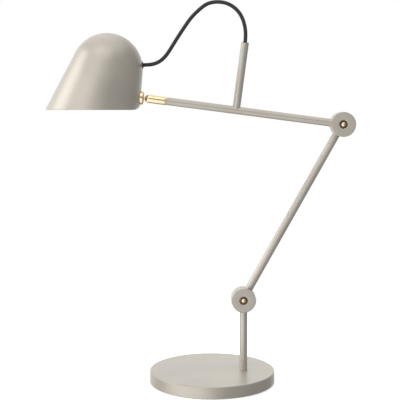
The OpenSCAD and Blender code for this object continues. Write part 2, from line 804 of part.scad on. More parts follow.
// steel strap from the socket up the back wall, then across to a ring round the lampholder
module holder_bracket() {
  z1 = saddle_in - 0.03;
  up = strap_l();
  color("silver") union() {
    on_wall() difference() {
      union() {
        translate([-up, -bracket_w / 2, z1 - bracket_t]) cube([up, bracket_w, bracket_t]);
        translate([0, 0, z1 - bracket_t]) cylinder(d = saddle_d, h = bracket_t);
      }
      translate([0, 0, -20]) cylinder(d = shank_d + 2 * loose_fit, h = 30);
    }
    on_shade() difference() {
      union() {
        translate([0, -bracket_w / 2, bracket_z]) cube([arm_reach(), bracket_w, bracket_t]);
        translate([0, 0, bracket_z]) cylinder(d = holder_ring_d, h = bracket_t);
      }
      translate([0, 0, bracket_z - cut]) cylinder(d = holder_d + 2 * push_fit, h = bracket_t + 2 * cut);
    }
  }
}

// the strap stands proud of the arm by a little, and the arm ends inside the strap's thickness
function strap_l() = (joint_down + bracket_z + bracket_t + 1.5) / cos(cone_a);
function arm_reach() =
  cone_r(bracket_z + bracket_t / 2, dome_r) + (saddle_in - bracket_t / 2) / cos(cone_a);

module socket_ring_nut() {
  color("goldenrod") on_wall() translate([0, 0, saddle_in - bracket_t - 2 * push_fit - ring_nut_h])
    difference() {
      cylinder(d = ring_nut_d, h = ring_nut_h, $fn = 8);
      translate([0, 0, -cut]) cylinder(d = shank_d + 2 * push_fit, h = ring_nut_h + 2 * cut);
    }
}

// --- lamp ------------------------------------------------------------------

module lampholder() {
  color("black") on_shade() translate([0, 0, holder_mouth]) difference() {
    union() {
      cylinder(d = holder_d, h = holder_l - 4);
      translate([0, 0, holder_l - 4]) cylinder(d1 = holder_d, d2 = holder_d - 6, h = 4);
    }
    translate([0, 0, -cut]) cylinder(d = bulb_cap_d + 2 * cap_gap, h = bulb_cap_l + 2 + cut);
    translate([0, 0, holder_l - 8]) cylinder(d = lead_d + 0.6, h = 9);
  }
}

// two threaded rings clamp the bracket on the lampholder
module holder_rings() {
  color("black") on_shade() for (z = [bracket_z - holder_ring_t - 0.03, bracket_z + bracket_t + 0.03])
    translate([0, 0, z]) ring(holder_ring_d, holder_d + 2 * push_fit, holder_ring_t);
}

// lead from the cord's end to the top of the lampholder, as points beside and along the shade's axis
holder_lead_route = [
  [dome_r - 18.2, 27], [dome_r - 23.2, 33], [26, 38], [20, 44], [13, 47.5], [6, 47.5], [1.5, 44.5], [0, 40], [0, 36]
];
module holder_lead() {
  color("white") on_shade()
    sweep([for (p = holder_lead_route) [p[0], 0, p[1]]], 0, len(holder_lead_route) - 1, lead_d);
}

module bulb_cap() {
  color("silver") on_shade() translate([0, 0, holder_mouth]) union() {
    translate([0, 0, -cap_out]) cylinder(d = bulb_cap_d, h = bulb_cap_l);
    translate([0, 0, bulb_cap_l - cap_out]) cylinder(d1 = bulb_cap_d - 3, d2 = bulb_cap_d / 3, h = 2);
  }
}

module bulb_globe() {
  r = globe_d / 2;
  neck_at = 0.7;                       // the neck leaves the globe at this share of its radius
  neck_z = globe_z + neck_at * r;
  color("white") on_shade() difference() {
    union() {
      translate([0, 0, globe_z]) sphere(d = globe_d);
      translate([0, 0, neck_z])
        cylinder(r1 = r * sqrt(1 - neck_at * neck_at), d2 = globe_neck_d, h = holder_mouth - 0.8 - neck_z);
    }
    translate([0, 0, holder_mouth - cap_out - push_fit])
      cylinder(d = bulb_cap_d + 2 * push_fit, h = 2 * bulb_cap_l);
  }
}

base_cover();
base_weight();
bottom_plate();
base_pad();
plate_screws();
lead_inlet();
terminal_block();
base_lead();
swivel_bush();
foot_washer();
post_spigot();
swivel_washer();
swivel_nut();
post_tube();
post_lead();
lower_front_disc();
lower_pivot_bolt();
lower_friction_ring();
lower_spring_washers();
lower_pivot_nut();
lower_rear_disc();
lower_arm_tube();
elbow_rear_disc();
lower_arm_lead();
elbow_front_disc();
elbow_pivot_bolt();
elbow_friction_ring();
elbow_spring_washers();
elbow_pivot_nut();
upper_arm_tube();
riser_tube();
riser_bush();
upper_arm_lead();
arm_sleeve();
cord_riser_side();
ball_stud();
stud_washer();
stud_nut();
cord_shade_side();
shade_shell();
cord_grommet();
joint_socket();
ball_seat();
seat_spring();
socket_plug();
socket_saddle();
holder_bracket();
socket_ring_nut();
lampholder();
holder_rings();
holder_lead();
bulb_cap();
bulb_globe();
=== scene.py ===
"""Looks of an architect desk lamp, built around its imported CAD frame.

Every mesh is worked out as whole arrays: a profile turned round an axis, a tube cut to meet a
round part, the shade's wall trimmed at a level rim, or a ring of braid carried along the cord.
All lengths are metres, X along the arms, Y across them, Z up.
"""

import json
import math

import bpy
import numpy as np
from mathutils import Matrix, Vector


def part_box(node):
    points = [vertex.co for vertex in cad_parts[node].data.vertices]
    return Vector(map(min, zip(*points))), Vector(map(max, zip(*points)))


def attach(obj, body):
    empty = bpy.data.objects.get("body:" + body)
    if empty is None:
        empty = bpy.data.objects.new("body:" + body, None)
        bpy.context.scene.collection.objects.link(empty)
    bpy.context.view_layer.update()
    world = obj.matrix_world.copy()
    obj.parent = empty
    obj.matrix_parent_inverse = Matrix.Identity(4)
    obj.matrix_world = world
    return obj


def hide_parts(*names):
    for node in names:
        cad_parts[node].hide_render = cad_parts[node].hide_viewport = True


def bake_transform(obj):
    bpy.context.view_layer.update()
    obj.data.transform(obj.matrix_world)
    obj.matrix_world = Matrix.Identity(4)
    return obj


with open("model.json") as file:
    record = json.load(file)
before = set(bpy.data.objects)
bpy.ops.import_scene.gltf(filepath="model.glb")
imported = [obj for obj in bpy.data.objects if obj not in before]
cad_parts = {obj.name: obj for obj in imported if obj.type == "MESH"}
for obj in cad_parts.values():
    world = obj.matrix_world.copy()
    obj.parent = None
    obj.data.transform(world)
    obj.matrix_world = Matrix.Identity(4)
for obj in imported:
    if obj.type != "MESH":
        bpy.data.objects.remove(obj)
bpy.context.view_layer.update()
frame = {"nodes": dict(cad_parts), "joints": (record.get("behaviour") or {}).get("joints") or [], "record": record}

MM = 0.001
JOINTS = {j["name"]: j for j in frame["joints"]}
LOWER = np.array(JOINTS["lower_joint"]["pos_m"])
ELBOW = np.array(JOINTS["elbow_joint"]["pos_m"])
BALL = np.array(JOINTS["shade_roll"]["pos_m"])
ARM_DIR = np.array(JOINTS["shade_roll"]["axis"])
RISER_DIR = np.array([ARM_DIR[2], 0.0, -ARM_DIR[0]])
FRONT = np.array([0.0, BALL[1], 0.0])
REAR = -FRONT
ACROSS = np.array([0.0, 1.0, 0.0])
UP = np.array([0.0, 0.0, 1.0])


def low(node):
    return np.array(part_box(node)[0])


def high(node):
    return np.array(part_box(node)[1])


def unit(v):
    return np.asarray(v, float) / np.linalg.norm(v)


# sizes shared with the CAD source
TUBE_R = (high("post_tube") - low("post_tube"))[0] / 2
TUBE_WALL = 1.1 * MM
DISC_R = (high("lower_front_disc") - low("lower_front_disc"))[0] / 2
DISC_T = (high("lower_front_disc") - low("lower_front_disc"))[1]
HALF_GAP = -high("lower_front_disc")[1]
HEAD_R = (high("lower_pivot_nut") - low("lower_pivot_nut"))[0] / 2
PIVOT_R = 3 * MM
COUNTERBORE = 5 * MM
DOME_R, CONE_A, LEAN_A = 55.2 * MM, math.radians(11.85), math.radians(16.45)
SHADE_WALL, COVER_WALL = 1.2 * MM, 2.6 * MM
JOINT_DOWN, BALL_OUT, CORNER_R = 28.1 * MM, 0.2 * MM, 10 * MM
BALL_R, NECK_R, NECK_GAP = 5.5 * MM, 3 * MM, 0.4 * MM
SLEEVE_L, SLEEVE_GRIP, SLEEVE_R = 34.5 * MM, 12 * MM, 6.8 * MM
CORD_D, LEAD_D, CORD_BORE_R = 6 * MM, 4.2 * MM, 3.3 * MM
FIT, TURNING_FIT = 0.03 * MM, 0.05 * MM

WALL_A = LEAN_A - CONE_A
WALL_OUT = np.array([math.cos(WALL_A), 0.0, -math.sin(WALL_A)])
WALL_POS = BALL - BALL_OUT * WALL_OUT
LEAN = np.array([math.sin(LEAN_A), 0.0, math.cos(LEAN_A)])
LEVEL = np.array([math.cos(LEAN_A), 0.0, -math.sin(LEAN_A)])


def cone_radius(height, radius):
    """Radius of the shade's cone at a height along its axis: r cos a + (r sin a - h) tan a."""
    return radius * math.cos(CONE_A) + (radius * math.sin(CONE_A) - height) * math.tan(CONE_A)


DOME = WALL_POS - cone_radius(-JOINT_DOWN, DOME_R) * LEVEL + JOINT_DOWN * LEAN
RIM_Z = low("shade_shell")[2]
RIM_BACK = WALL_POS[0] - (WALL_POS[2] - RIM_Z) * math.tan(WALL_A)
ENTRY_A = math.radians(6.2)
ENTRY_DIR = np.array([math.cos(ENTRY_A), 0.0, math.sin(ENTRY_A)])
ENTRY = DOME + DOME_R * ENTRY_DIR
RISER_AT, RISER_L = 169 * MM, 104.8 * MM
RISER_FOOT = ELBOW + FRONT + RISER_AT * ARM_DIR
RISER_TOP = RISER_FOOT + RISER_L * RISER_DIR
ARM_L = np.linalg.norm(ELBOW + FRONT - BALL)
SLEEVE_END = ARM_L - BALL_R - NECK_GAP
SLEEVE_START = SLEEVE_END - SLEEVE_L
TUBE_END = SLEEVE_START + SLEEVE_GRIP


# --- camera ------------------------------------------------------------------

LENS, SENSOR = 84.686, 36
CAMERA_X, CAMERA_Y, ABOVE_RIM = -0.019445, -1.48256, 0.65 * MM
LOOK_DOWN = 5.4877

camera = bpy.data.objects.new("camera", bpy.data.cameras.new("camera"))
bpy.context.scene.collection.objects.link(camera)
camera.data.lens, camera.data.sensor_width = LENS, SENSOR
camera.location = (CAMERA_X, CAMERA_Y, RIM_Z + ABOVE_RIM)
camera.rotation_euler = (math.radians(90 - LOOK_DOWN), 0, 0)
bpy.context.scene.camera = camera


# --- meshes ------------------------------------------------------------------

EDGE_BREAK = 0.12 * MM

class Place:
    """A local frame: an origin, an axis w, and two directions u and v square to it."""

    def __init__(self, origin, axis):
        self.origin, self.w = np.asarray(origin, float), unit(axis)
        self.v = ACROSS if abs(self.w[1]) < 0.9 else UP
        self.u = unit(np.cross(self.v, self.w))
        self.v = np.cross(self.w, self.u)

    def put(self, x, y, z):
        """Points in the shared frame: origin + x u + y v + z w."""
        x, y, z = np.broadcast_arrays(x, y, z)
        return self.origin + x[..., None] * self.u + y[..., None] * self.v + z[..., None] * self.w


def around(sides):
    """Angles of a ring, with no repeat at the end."""
    return np.arange(sides) * (2 * math.pi / sides)


def rounded(corners, steps=5):
    """A profile with its corners turned into arcs. Each corner is (radius, height) or
    (radius, height, fillet); the arc is tangent to both edges, and no longer than they allow."""
    points = [np.array(c[:2], float) for c in corners]
    out = [points[0]]
    for before, corner, after, size in zip(points, points[1:], points[2:], corners[1:-1]):
        fillet = size[2] if len(size) > 2 else 0.0
        a, b = unit(before - corner), unit(after - corner)
        half = math.acos(np.clip(a @ b, -1, 1)) / 2
        reach = min(fillet / math.tan(half), 0.49 * np.linalg.norm(before - corner),
                    0.49 * np.linalg.norm(after - corner)) if fillet else 0.0
        if reach < 1e-7:
            out.append(corner)
            continue
        radius = reach * math.tan(half)
        centre = corner + unit(a + b) * radius / math.sin(half)
        start, end = corner + a * reach - centre, corner + b * reach - centre
        sweep = math.acos(np.clip(start @ end / radius**2, -1, 1))
        for t in np.linspace(0, 1, steps + 1):
            out.append(centre + (math.sin((1 - t) * sweep) * start + math.sin(t * sweep) * end)
                       / math.sin(sweep))
    out.append(points[-1])
    return np.array(out)


def faces_of(points, wrap_rows):
    """Faces of a grid whose columns wrap round. A row whose points all meet is one pole, and the
    quads at it are triangles. Returns the faces and the row that each belongs to."""
    rows, sides = points.shape[:2]
    index = np.arange(rows * sides).reshape(rows, sides)
    pole = np.ptp(points, axis=1).max(axis=1) < 1e-9
    index[pole] = index[pole][:, :1]
    first = index if wrap_rows else index[:-1]
    second = np.roll(index, -1, axis=0) if wrap_rows else index[1:]
    quads = np.stack([first, np.roll(first, -1, 1), np.roll(second, -1, 1), second], -1)
    row = np.repeat(np.arange(len(quads)), sides)
    quads = quads.reshape(-1, 4)
    made = []
    for q in quads.tolist():
        made.append([c for k, c in enumerate(q) if c != q[k - 1]])
    return made, row


def volume(points, faces):
    """Signed volume inside closed faces, from the tetrahedra between them and the origin."""
    fans = np.array([[f[0], f[k], f[k + 1]] for f in faces for k in range(1, len(f) - 1)])
    a, b, c = points[fans[:, 0]], points[fans[:, 1]], points[fans[:, 2]]
    return np.einsum("ij,ij->i", a, np.cross(b, c)).sum() / 6


def mesh_piece(name, grids, finishes, crease=32, second_from=None, marks=None):
    """A closed piece from one or more grids of points, as (points, wrap_rows). Faces turn
    outwards. Rows from second_from on take the second finish. marks are named numbers, one for
    each point of the first grid, that the finish reads."""
    verts, faces, rows = [], [], []
    offset = 0
    for points, wrap_rows in grids:
        flat = points.reshape(-1, 3)
        made, row = faces_of(points, wrap_rows)
        centred = flat - flat.mean(0)
        if volume(centred, made) < 0:
            made = [f[::-1] for f in made]
        faces += [[c + offset for c in f] for f in made]
        rows.append(row)
        verts.append(flat)
        offset += len(flat)
    verts, rows = np.concatenate(verts), np.concatenate(rows)
    used = np.unique(np.concatenate([np.array(f) for f in faces]))
    number = np.zeros(len(verts), int)
    number[used] = np.arange(len(used))
    mesh = bpy.data.meshes.new(name)
    mesh.from_pydata(verts[used].tolist(), [], [[int(number[c]) for c in f] for f in faces])
    for label, values in (marks or {}).items():
        mesh.attributes.new(label, "FLOAT", "POINT").data.foreach_set(
            "value", np.asarray(values, np.float32).ravel()[used])
    finishes = finishes if isinstance(finishes, (list, tuple)) else [finishes]
    for finish in finishes:
        mesh.materials.append(finish)
    if second_from is not None:
        mesh.polygons.foreach_set("material_index", (rows >= second_from).astype(np.int32))
    mesh.polygons.foreach_set("use_smooth", np.ones(len(mesh.polygons), bool))
    mesh.set_sharp_from_angle(angle=math.radians(crease))
    mesh.update()
    made = bpy.data.objects.new(name, mesh)
    bpy.context.scene.collection.objects.link(made)
    return made


def turned(place, profile, sides=128, ribs=None):
    """A profile of (radius, height) carried round a place's axis: (r cos t, r sin t, h).
    ribs is a function of the angle and the profile that changes each ring's radius."""
    t = around(sides)[None, :]
    r, h = profile[:, 0][:, None], profile[:, 1][:, None]
    if ribs is not None:
        r = r + ribs(t, profile)
    return place.put(r * np.cos(t), r * np.sin(t), h + 0 * t)


def pipe(start, direction, length, radius, bore, cope_start, cope_end, sides=64, rows=24):
    """A tube along a line, cut at each end to a round part: at a point whose distance across
    the line is q, a part of radius R meets it at sqrt(R*R - q*q). A cope is (R, sees_y), where
    sees_y says that q is measured along Y. The bore runs back inside, so the wall is closed."""
    place = Place(start, direction)
    t = around(sides)

    def end(cope, r):
        if cope is None:
            return np.zeros(sides)
        reach, sees_y = cope
        q = r * (np.sin(t) if sees_y else np.cos(t))
        return np.sqrt(np.maximum(reach**2 - q**2, 0))

    def wall(r, shares):
        a, b = end(cope_start, r), length - end(cope_end, r)
        s = a[None, :] + (b - a)[None, :] * shares[:, None]
        return place.put(r * np.cos(t)[None, :] + 0 * s, r * np.sin(t)[None, :] + 0 * s, s)

    shares = np.linspace(0, 1, rows)
    edge = wall(radius - EDGE_BREAK, shares)
    return np.concatenate([edge[:1], wall(radius, shares), edge[-1:], wall(bore, shares)[::-1]])


# heights that pass right through a thin wall, on both sides of a place's origin
THROUGH = (-6 * MM, 6 * MM)


def drill(made, holes):
    """Cuts round holes through a piece: each is (place, radius, from height, to height)."""
    cutters = []
    for place, radius, start, end in holes:
        profile = np.array([[0, start], [radius, start], [radius, end], [0, end]])
        cutter = mesh_piece("cutter", [(turned(place, profile, sides=96), False)],
                            list(made.data.materials))
        modifier = made.modifiers.new("hole", "BOOLEAN")
        modifier.operation, modifier.solver, modifier.object = "DIFFERENCE", "EXACT", cutter
        cutters.append(cutter)
    bpy.context.view_layer.update()
    depsgraph = bpy.context.evaluated_depsgraph_get()
    mesh = bpy.data.meshes.new_from_object(made.evaluated_get(depsgraph))
    made.modifiers.clear()
    made.data = mesh
    mesh.name = made.name
    for cutter in cutters:
        bpy.data.objects.remove(cutter)
    return made


def join_body(made, body, slot, *nodes):
    """The piece moves with a CAD body and stands for CAD nodes. slot is not used."""
    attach(made, body)
    if nodes:
        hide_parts(*nodes)
    return made


# --- finishes ----------------------------------------------------------------


class Value:
    """One socket inside a finish. Arithmetic on it adds Math nodes."""

    def __init__(self, finish, socket):
        self.finish, self.socket = finish, socket

    def _math(self, operation, *terms):
        return self.finish.node("ShaderNodeMath", {"operation": operation}, dict(enumerate(terms)))

    def __add__(self, other):
        return self._math("ADD", self, other)

    def __sub__(self, other):
        return self._math("SUBTRACT", self, other)

    def __rsub__(self, other):
        return self._math("SUBTRACT", other, self)

    def __mul__(self, other):
        return self._math("MULTIPLY", self, other)

    def __truediv__(self, other):
        return self._math("DIVIDE", self, other)

    def __rtruediv__(self, other):
        return self._math("DIVIDE", other, self)

    def __pow__(self, other):
        return self._math("POWER", self, other)

    __radd__, __rmul__ = __add__, __mul__

    def sine(self):
        return self._math("SINE", self)

    def size(self):
        return self._math("ABSOLUTE", self)

    def root(self):
        return self._math("SQRT", self)

    def step(self, low_edge, high_edge, low_value=0.0, high_value=1.0):
        """Smooth change from one value to another between two edges."""
        return self.finish.node(
            "ShaderNodeMapRange", {"interpolation_type": "SMOOTHSTEP"},
            {"Value": self, "From Min": low_edge, "From Max": high_edge,
             "To Min": low_value, "To Max": high_value})


class Finish:
    """A named material. node() adds any node: its type, its settings, then its inputs."""

    def __init__(self, name, **uniform):
        self.material = bpy.data.materials.new(name)
        self.material.use_nodes = True
        self.tree = self.material.node_tree
        self.shader = next(n for n in self.tree.nodes if n.type == "BSDF_PRINCIPLED")
        for key, value in uniform.items():
            self.shader.inputs[key.replace("_", " ")].default_value = value

    def feed(self, socket, value):
        """Links a Value to a socket, or sets a plain number or colour on it."""
        if isinstance(value, Value):
            self.tree.links.new(value.socket, socket)
        else:
            socket.default_value = value

    def node(self, kind, settings=None, inputs=None, output=0):
        made = self.tree.nodes.new(kind)
        for key, value in (settings or {}).items():
            setattr(made, key, value)
        for key, value in (inputs or {}).items():
            self.feed(made.inputs[key], value)
        return Value(self, made.outputs[output])

    def point(self):
        """Where the surface is, in metres."""
        return self.node("ShaderNodeTexCoord", output="Object")

    def along(self, place):
        """Where the surface is in a place's own frame: x, y and z along its axis."""
        turn = Matrix((place.u, place.v, place.w))
        moved = self.node("ShaderNodeMapping", {},
                          {"Vector": self.point(), "Rotation": turn.to_euler(),
                           "Location": turn @ Vector(-place.origin)})
        return self.parts(moved)

    def parts(self, vector):
        """The three numbers of a vector."""
        made = self.tree.nodes.new("ShaderNodeSeparateXYZ")
        self.feed(made.inputs[0], vector)
        return [Value(self, s) for s in made.outputs]

    def vector(self, x, y, z):
        return self.node("ShaderNodeCombineXYZ", {}, {"X": x, "Y": y, "Z": z})

    def noise(self, vector, grains_per_metre, detail=2.0, roughness=0.5):
        return self.node("ShaderNodeTexNoise", {},
                         {"Vector": vector, "Scale": grains_per_metre, "Detail": detail,
                          "Roughness": roughness})

    def blend(self, share, first, second):
        """A colour between two colours."""
        made = self.tree.nodes.new("ShaderNodeMix")
        made.data_type = "RGBA"
        sockets = [s for s in made.inputs if s.enabled]
        for socket, value in zip(sockets, (share, first, second)):
            if not isinstance(value, Value) and socket.type == "RGBA":
                value = (*value, 1)
            self.feed(socket, value)
        return Value(self, next(s for s in made.outputs if s.enabled))

    def bump(self, height, depth, below=None):
        """A surface raised by height times depth, in metres, on top of an earlier bump."""
        inputs = {"Height": height, "Distance": depth, "Strength": 1.0}
        if below is not None:
            inputs["Normal"] = below
        return self.node("ShaderNodeBump", {}, inputs)

    def set(self, **sockets):
        """Feeds the shader's sockets and returns the finished material."""
        for key, value in sockets.items():
            if not isinstance(value, Value) and key == "Base_Color":
                value = (*value, 1)
            self.feed(self.shader.inputs[key.replace("_", " ")], value)
        return self.material


CHAMPAGNE = (0.485, 0.447, 0.388)
BRASS_LIGHT, BRASS_DARK = (0.83, 0.68, 0.45), (0.62, 0.46, 0.25)
THREADS = 4


def powder_coat(name, colour):
    """Satin metallic powder coat: a fine orange peel, a little drift of colour and gloss."""
    f = Finish(name, Metallic=0.42, Coat_Weight=0.1, Coat_Roughness=0.3)
    point = f.point()
    drift = f.noise(point, grains_per_metre=14, detail=3)
    fleck = f.noise(point, grains_per_metre=2600, detail=1)
    peel = f.noise(point, grains_per_metre=1100)
    light = [min(1.0, c * 1.05) for c in colour]
    dark = [c * 0.95 for c in colour]
    base = f.blend(drift.step(0.35, 0.65), dark, light)
    tint = f.blend(fleck.step(0.45, 0.75, 0.0, 0.12), base, [min(1.0, c * 1.35) for c in colour])
    return f.set(Base_Color=tint, Roughness=drift * 0.06 + fleck * 0.04 + 0.31,
                 Normal=f.bump(peel, 0.004 * MM))


def white_enamel():
    """Matt white inner coat, with a faint peel."""
    f = Finish("inner_white", Metallic=0.0)
    point = f.point()
    drift = f.noise(point, grains_per_metre=30)
    peel = f.noise(point, grains_per_metre=1400)
    return f.set(Base_Color=f.blend(drift, (0.80, 0.79, 0.76), (0.86, 0.85, 0.83)),
                 Roughness=drift * 0.1 + 0.45, Normal=f.bump(peel, 0.02 * MM))


def turned_brass(name, place, rough, recess=None):
    """Brass turned on a lathe: fine rings along and across the axis, and a little tarnish. Below the
    height along the axis that recess gives, it is darkened as painted shade inside the recess."""
    f = Finish(name, Metallic=1.0)
    x, y, z = f.along(place)
    radius = (x * x + y * y).root()
    rings = f.noise(f.vector(radius, 0.0, z), grains_per_metre=6500)
    tarnish = f.noise(f.point(), grains_per_metre=320, detail=3)
    colour = f.blend(tarnish.step(0.45, 0.8, 0.0, 0.35), BRASS_LIGHT, BRASS_DARK)
    if recess is not None:
        # painted shade: inside the counterbore recess the brass is darkened nearly to black
        recess_shade = z.size().step(recess - 0.8 * MM, recess + 0.6 * MM, 0.95, 0.0)
        colour = f.blend(recess_shade, colour, [c * 0.16 for c in BRASS_DARK])
    return f.set(Base_Color=colour,
                 Roughness=rings * 0.08 + tarnish.step(0.4, 0.8, 0.0, 0.1) + rough,
                 Normal=f.bump(rings, 0.002 * MM))


def plain(name, light, dark, rough, grains=900, depth=0.03 * MM, **uniform):
    """Moulded or cast finish: two tones in fine grain, with the same grain raised."""
    f = Finish(name, **uniform)
    point = f.point()
    grain = f.noise(point, grains, detail=3, roughness=0.6)
    drift = f.noise(point, grains_per_metre=40)
    return f.set(Base_Color=f.blend(grain * 0.6 + drift * 0.4, dark, light),
                 Roughness=grain * 0.15 + rough - 0.05, Normal=f.bump(grain, depth))


def textile():
    """Black textile braid. The strand's height and its own tone come with the mesh, and fine
    threads run along each strand. Low parts of the weave are painted darker, as painted shade."""
    f = Finish("braid_black", Metallic=0.0, Sheen_Weight=0.25, Sheen_Roughness=0.4)
    height, across, shade = (
        f.node("ShaderNodeAttribute", {"attribute_name": f"strand_{mark}"}, output="Fac")
        for mark in ("height", "across", "shade"))
    threads = (across * (2 * math.pi * THREADS)).sine() * 0.5 + 0.5
    fuzz = f.noise(f.point(), grains_per_metre=5200)
    # painted shade: the colour is lighter only where a strand stands high, so the crevices of the weave, and a
    # little the gaps between threads, are painted dark
    lit = height.step(0.1, 0.9, 0.0, 0.6) * (threads * 0.3 + 0.7) * (fuzz * 0.6 + 0.7)
    return f.set(Base_Color=f.blend(lit + shade * 0.12, (0.004, 0.004, 0.005), (0.045, 0.045, 0.048)),
                 Roughness=fuzz * 0.2 + 0.62,
                 Normal=f.bump(threads * 0.6 + fuzz * 0.4, 0.04 * MM))


def opal_glass():
    """Opal glass: milky white under a clear gloss, with very faint waves."""
    f = Finish("opal_glass", Coat_Weight=0.6, Coat_Roughness=0.05, Subsurface_Weight=0.3,
               Subsurface_Scale=0.004)
    waves = f.noise(f.point(), grains_per_metre=60)
    return f.set(Base_Color=f.blend(waves, (0.86, 0.85, 0.81), (0.90, 0.89, 0.86)),
                 Roughness=waves * 0.08 + 0.12, Normal=f.bump(waves, 0.04 * MM))


painted = powder_coat("champagne_coat", CHAMPAGNE)
shade_painted = powder_coat("shade_coat", CHAMPAGNE)
inner_white = white_enamel()
black_rubber = plain("black_rubber", (0.035, 0.035, 0.036), (0.018, 0.018, 0.018), rough=0.62)
phenolic = plain("black_phenolic", (0.028, 0.024, 0.022), (0.014, 0.012, 0.011), rough=0.28,
                 grains=300, depth=0.01 * MM, Coat_Weight=0.3)
nylon = plain("ivory_nylon", (0.76, 0.74, 0.69), (0.68, 0.66, 0.60), rough=0.42, grains=700,
              depth=0.01 * MM)
white_lead = plain("white_insulation", (0.82, 0.81, 0.78), (0.74, 0.73, 0.70), rough=0.38,
                   grains=500, depth=0.01 * MM)
zinc = plain("zinc_plate", (0.66, 0.66, 0.67), (0.50, 0.50, 0.49), rough=0.34, grains=260,
             depth=0.006 * MM, Metallic=1.0)
iron = plain("blackened_iron", (0.13, 0.125, 0.12), (0.06, 0.058, 0.055), rough=0.7, grains=420,
             depth=0.15 * MM, Metallic=0.4)
braid = textile()
opal = opal_glass()

WALL = Place(WALL_POS, WALL_OUT)
SHADE = Place(DOME, LEAN)
ARM = Place(ELBOW + FRONT, ARM_DIR)
brass_wall = turned_brass("brass_socket", WALL, rough=0.12)
brass_arm = turned_brass("brass_sleeve", ARM, rough=0.10)

SLOT_FINISH = {"paint": painted, "shade_paint": shade_painted, "brass": brass_wall, "steel": zinc,
               "cast_iron": iron, "rubber": black_rubber, "nylon": nylon, "lead": white_lead,
               "braid": braid, "phenolic": phenolic, "opal": opal}
for part in frame["record"]["subparts"]:
    cad_node = frame["nodes"][part["node"]]
    cad_node.data.materials.clear()
    cad_node.data.materials.append(SLOT_FINISH[part["material_slot"]])


# --- cord --------------------------------------------------------------------

# how far along the line from the riser's mouth to the shade, and how far above it, as shares
CORD_ROUTE = np.array([
    (-0.024, 0.094), (-0.029, 0.18), (-0.013, 0.266), (0.03, 0.344), (0.099, 0.403),
    (0.187, 0.434), (0.275, 0.434), (0.364, 0.396), (0.452, 0.339), (0.537, 0.263),
    (0.616, 0.186), (0.697, 0.103), (0.782, 0.027), (0.858, -0.007), (0.934, -0.01)])
CORD_IN_RISER, CORD_IN_SHADE, CORD_SPLIT = 26 * MM, 9 * MM, 10
CORD_STEP = 0.35 * MM
cord_span = ENTRY - RISER_TOP
cord_rise = np.array([cord_span[2], 0.0, -cord_span[0]])
cord_points = np.concatenate([
    [RISER_TOP + s * RISER_DIR for s in (-CORD_IN_RISER, -CORD_IN_RISER / 2, 0)],
    RISER_TOP + CORD_ROUTE[:, :1] * cord_span + CORD_ROUTE[:, 1:] * cord_rise,
    [ENTRY, ENTRY - CORD_IN_SHADE * ENTRY_DIR]])


def smooth_line(points, spacing):
    """One natural cubic spline through the points, by chord length, sampled at even steps along
    its length. Returns the samples, their lengths from the start, and each point's length."""
    chord = np.concatenate([[0], np.cumsum(np.linalg.norm(np.diff(points, axis=0), axis=1))])
    gap = np.diff(chord)
    n = len(points)
    system, right = np.eye(n), np.zeros((n, 3))
    slope = np.diff(points, axis=0) / gap[:, None]
    k = np.arange(1, n - 1)
    system[k, k - 1], system[k, k], system[k, k + 1] = gap[:-1], 2 * (gap[:-1] + gap[1:]), gap[1:]
    right[1:-1] = 6 * np.diff(slope, axis=0)
    bend = np.linalg.solve(system, right)

    def at(s):
        i = np.clip(np.searchsorted(chord, s, side="right") - 1, 0, n - 2)
        a, b, h = (chord[i + 1] - s)[:, None], (s - chord[i])[:, None], gap[i][:, None]
        return ((bend[i] * a**3 + bend[i + 1] * b**3) / (6 * h)
                + (points[i] / h - bend[i] * h / 6) * a
                + (points[i + 1] / h - bend[i + 1] * h / 6) * b)

    fine = np.linspace(0, chord[-1], 4000)
    length = np.concatenate([[0], np.cumsum(np.linalg.norm(np.diff(at(fine), axis=0), axis=1))])
    knots = np.interp(chord, fine, length)
    wanted = np.linspace(0, length[-1], int(length[-1] / spacing) + 1)
    return at(np.interp(wanted, length, fine)), wanted, knots


def braided(path, length, diameter, strands=12, lay_length=0.024, sides=84, relief=0.00022):
    """A braided tube round a path. With a the share of a turn and s the length along, one family
    of strands lies at u = N (a + s / p) and the other at v = N (a - s / p). Each strand is crowned
    across itself, and rises and falls along itself as it passes over and under the other family.
    The higher of the two is the surface."""
    tangent = np.gradient(path, axis=0)
    tangent /= np.linalg.norm(tangent, axis=1)[:, None]
    side = np.cross(ACROSS, tangent)
    t = around(sides)
    u = strands * (t / (2 * math.pi))[None, :] + strands * length[:, None] / lay_length
    v = strands * (t / (2 * math.pi))[None, :] - strands * length[:, None] / lay_length

    def strand(own, other, sign):
        crown = np.abs(np.sin(math.pi * own)) ** 0.55
        weave = sign * np.cos(math.pi * (other - 0.5 + np.floor(own)))
        return crown * (0.58 + 0.42 * weave)

    first, second = strand(u, v, 1), strand(v, u, -1)
    top = np.maximum(first, second)
    radius = diameter / 2 - relief * (1 - top)
    rings = (path[:, None, :] + (radius * np.cos(t))[..., None] * ACROSS
             + (radius * np.sin(t))[..., None] * side[:, None, :])
    over = first >= second
    own = np.where(over, u, v)
    marks = {"strand_height": top, "strand_across": own % 1.0,
             "strand_shade": (np.floor(own) * 0.618 + over * 0.31) % 1.0}
    ends = [np.repeat(path[:1, None, :], sides, 1), rings, np.repeat(path[-1:, None, :], sides, 1)]
    marks = {k: np.concatenate([m[:1], m, m[-1:]]) for k, m in marks.items()}
    return np.concatenate(ends), marks


